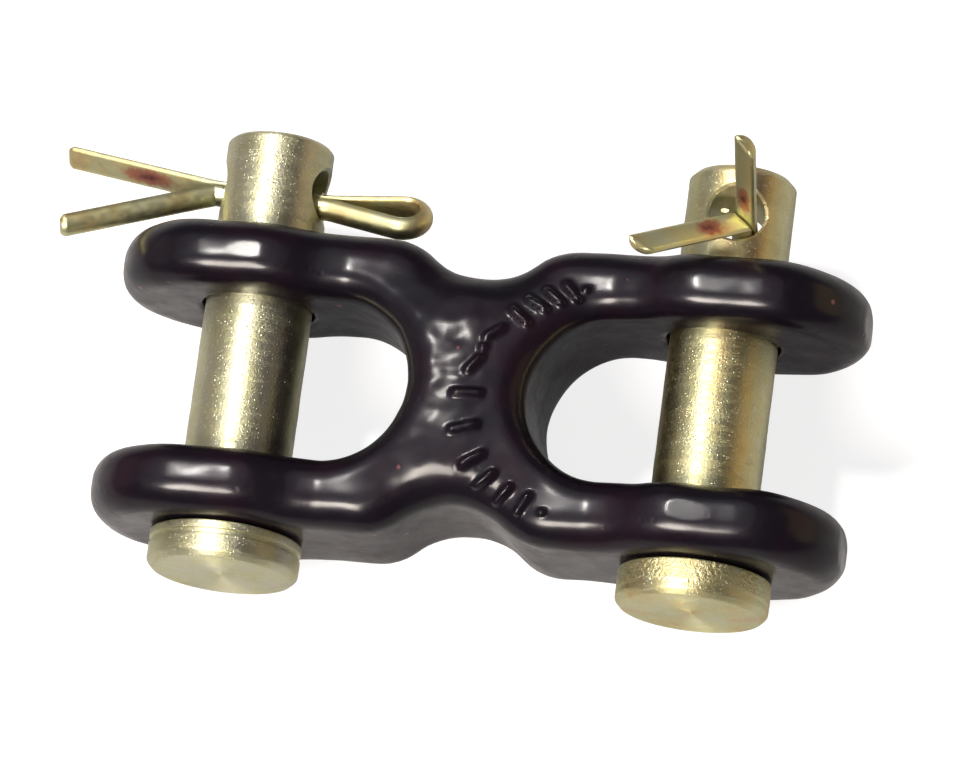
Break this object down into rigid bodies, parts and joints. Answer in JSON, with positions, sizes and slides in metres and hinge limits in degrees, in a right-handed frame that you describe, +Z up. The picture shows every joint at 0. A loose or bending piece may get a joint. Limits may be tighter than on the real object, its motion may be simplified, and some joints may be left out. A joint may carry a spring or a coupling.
{
  "type": "twin clevis chain link",
  "caption": "Forged H-shaped link with a clevis at each end, each closed by a headed clevis pin and a bent split cotter pin, for joining safety chains.",
  "frame": {"origin": "middle of the left clevis gap, on the left clevis pin's axis", "axes": "+X along the link from the left pin to the right pin, +Y along the pins from head to tip, +Z up with the link lying flat"},
  "size_m": [0.124, 0.0664, 0.0527],
  "materials": {
    "forged_body": "glossy near-black dip paint with an aubergine tint over a forged steel skin",
    "plated_pin": "yellow zinc plating on turned bar, olive-gold with faint iridescent bands",
    "plated_wire": "pale yellow zinc plating on half-round wire, with brown heat marks at the bends"
  },
  "bodies": {
    "link": {"link_body": "forged_body"},
    "left_pin": {"left_clevis_pin": "plated_pin"},
    "right_pin": {"right_clevis_pin": "plated_pin"},
    "left_cotter": {"left_cotter_pin": "plated_wire"},
    "right_cotter": {"right_cotter_pin": "plated_wire"}
  },
  "joints": [
    {"name": "left_pin_turn", "type": "hinge", "parent": "link", "child": "left_pin", "pos_m": [0, 0, 0], "axis": [0, 1, 0], "range_deg": [-155, 125]},
    {"name": "right_pin_turn", "type": "hinge", "parent": "link", "child": "right_pin", "pos_m": [0.06985, 0, 0], "axis": [0, 1, 0], "range_deg": [-20, 45]},
    {"name": "left_cotter_slide", "type": "slide", "parent": "left_pin", "child": "left_cotter", "axis": [-0.9981, 0.061, 0], "range_m": [-0.00325, 0.00325]},
    {"name": "right_cotter_slide", "type": "slide", "parent": "right_pin", "child": "right_cotter", "axis": [0.1045, 0, 0.9945], "range_m": [-0.0015, 0.00225]}
  ]
}
